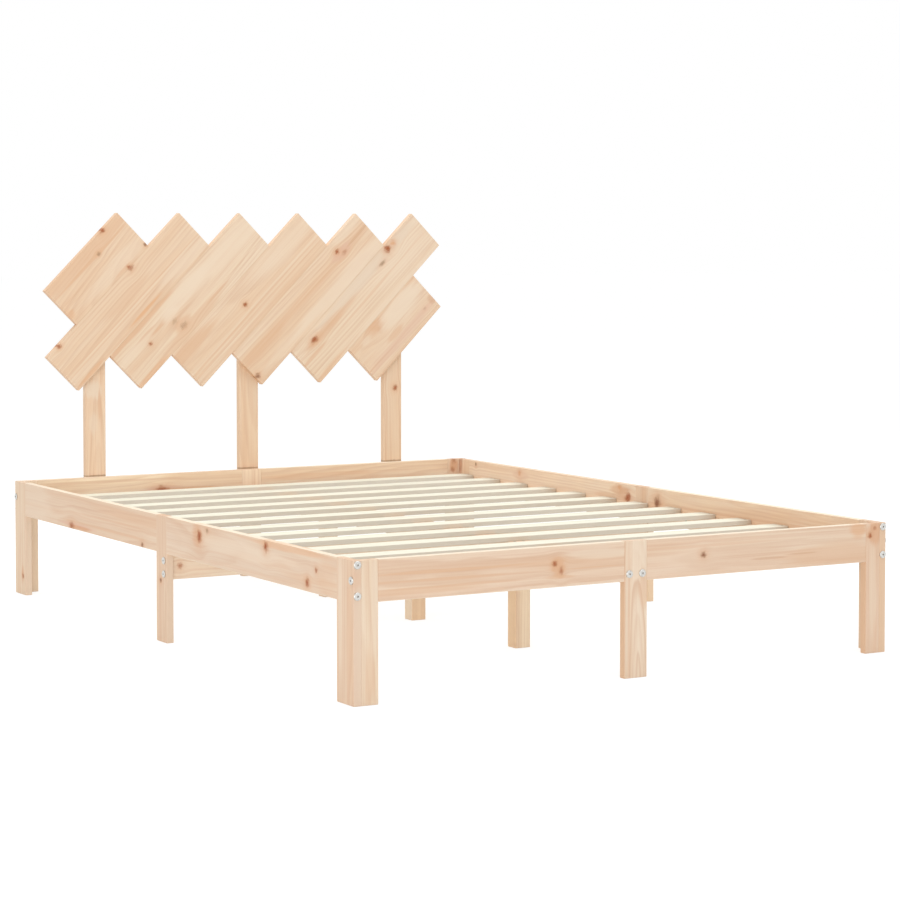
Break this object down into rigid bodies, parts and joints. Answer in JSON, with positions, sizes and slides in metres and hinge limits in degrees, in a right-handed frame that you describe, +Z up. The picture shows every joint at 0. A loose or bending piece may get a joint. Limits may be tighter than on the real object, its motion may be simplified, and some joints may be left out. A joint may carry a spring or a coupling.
{
  "type": "bed_frame",
  "caption": "Low slatted double bed frame in bare pine with short board legs, a centre beam and a headboard of planks set at 45 degrees on three posts.",
  "frame": {"origin": "on the floor, under the middle of the whole object", "axes": "+Y from the foot to the headboard, +X to the right seen from the foot, +Z up"},
  "size_m": [1.4052, 1.9802, 1.0283],
  "materials": {
    "frame_pine": "planed, unvarnished",
    "slat_pine": "planed, unvarnished",
    "headboard_pine": "planed, unvarnished",
    "dowel_beech": "fluted, plain",
    "bolt_steel": "zinc plated",
    "screw_steel": "zinc plated"
  },
  "bodies": {
    "root": {"foot_left_leg_side_board": "frame_pine", "foot_right_leg_side_board": "frame_pine", "head_left_leg_side_board": "frame_pine", "head_right_leg_side_board": "frame_pine", "foot_left_leg_end_board": "frame_pine", "foot_right_leg_end_board": "frame_pine", "head_left_leg_end_board": "frame_pine", "head_right_leg_end_board": "frame_pine", "left_middle_leg": "frame_pine", "right_middle_leg": "frame_pine", "foot_middle_leg": "frame_pine", "head_middle_leg": "frame_pine", "left_rail_foot_half": "frame_pine", "left_rail_head_half": "frame_pine", "right_rail_foot_half": "frame_pine", "right_rail_head_half": "frame_pine", "foot_rail_left_half": "frame_pine", "head_rail_left_half": "frame_pine", "foot_rail_right_half": "frame_pine", "head_rail_right_half": "frame_pine", "left_ledge_foot_half": "frame_pine", "left_ledge_head_half": "frame_pine", "right_ledge_foot_half": "frame_pine", "right_ledge_head_half": "frame_pine", "cross_beam": "frame_pine", "centre_beam_foot_half": "frame_pine", "centre_beam_head_half": "frame_pine", "centre_leg_middle": "frame_pine", "centre_leg_foot": "frame_pine", "centre_leg_head": "frame_pine", "slat_01": "slat_pine", "slat_02": "slat_pine", "slat_03": "slat_pine", "slat_04": "slat_pine", "slat_05": "slat_pine", "slat_06": "slat_pine", "slat_07": "slat_pine", "slat_08": "slat_pine", "slat_09": "slat_pine", "slat_10": "slat_pine", "slat_11": "slat_pine", "slat_12": "slat_pine", "slat_13": "slat_pine", "headboard_plank_1": "headboard_pine", "headboard_plank_2": "headboard_pine", "headboard_plank_3": "headboard_pine", "headboard_plank_4": "headboard_pine", "headboard_plank_5": "headboard_pine", "headboard_plank_6": "headboard_pine", "headboard_plank_7": "headboard_pine", "headboard_post_left": "headboard_pine", "headboard_post_centre": "headboard_pine", "headboard_post_right": "headboard_pine", "frame_bolts": "bolt_steel", "beam_bolts": "bolt_steel", "insert_nuts": "bolt_steel", "frame_screws": "screw_steel", "slat_screws": "screw_steel", "headboard_screws": "screw_steel", "wood_dowels": "dowel_beech"}
  },
  "joints": []
}
